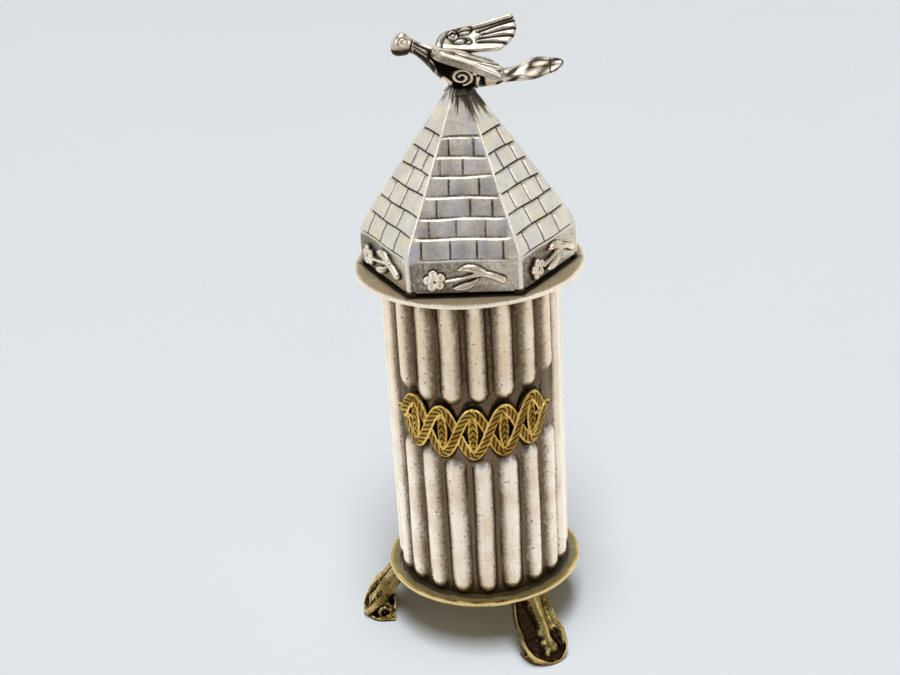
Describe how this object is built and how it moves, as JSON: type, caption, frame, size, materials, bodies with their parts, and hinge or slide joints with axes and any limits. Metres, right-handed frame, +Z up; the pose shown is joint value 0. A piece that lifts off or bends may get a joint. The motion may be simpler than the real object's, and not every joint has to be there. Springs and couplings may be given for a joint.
{
  "type": "spice box",
  "caption": "Upright spice box: fluted tube on a round plate with leaf-shaped feet, and a six-sided brick-pattern roof that lifts off, with a bird on its point.",
  "frame": {"origin": "centre of the base plate's underside, 12.4 mm above the surface that the feet stand on", "axes": "+Z up along the tube's axis, the front with the ornament band faces -Y, +X to the right seen from the front"},
  "size_m": [0.0488, 0.0487, 0.1247],
  "materials": {
    "silver": "worn polished silver",
    "dark_silver": "darkened silver",
    "tarnished_silver": "satin, warm tarnish",
    "gilt": "gilt with dark engraved lines",
    "aged_brass": "worn gilt with dark patina"
  },
  "bodies": {
    "box": {"base_plate": "aged_brass", "foot_left": "aged_brass", "foot_front_right": "aged_brass", "foot_back_right": "aged_brass", "fluted_tube": "silver", "ornament_band": "gilt", "top_flange": "tarnished_silver"},
    "lid": {"roof_shell": "silver", "roof_floor": "dark_silver", "lid_collar": "dark_silver", "flower_sprig_1": "silver", "flower_sprig_2": "silver", "flower_sprig_3": "silver", "flower_sprig_4": "silver", "flower_sprig_5": "silver", "flower_sprig_6": "silver", "finial_collar": "dark_silver", "bird_body": "silver", "bird_wing_left": "silver", "bird_wing_right": "silver"}
  },
  "joints": [
    {"name": "lid_lift", "type": "slide", "parent": "box", "child": "lid", "axis": [0, 0, 1], "range_m": [0, 0.05]}
  ]
}
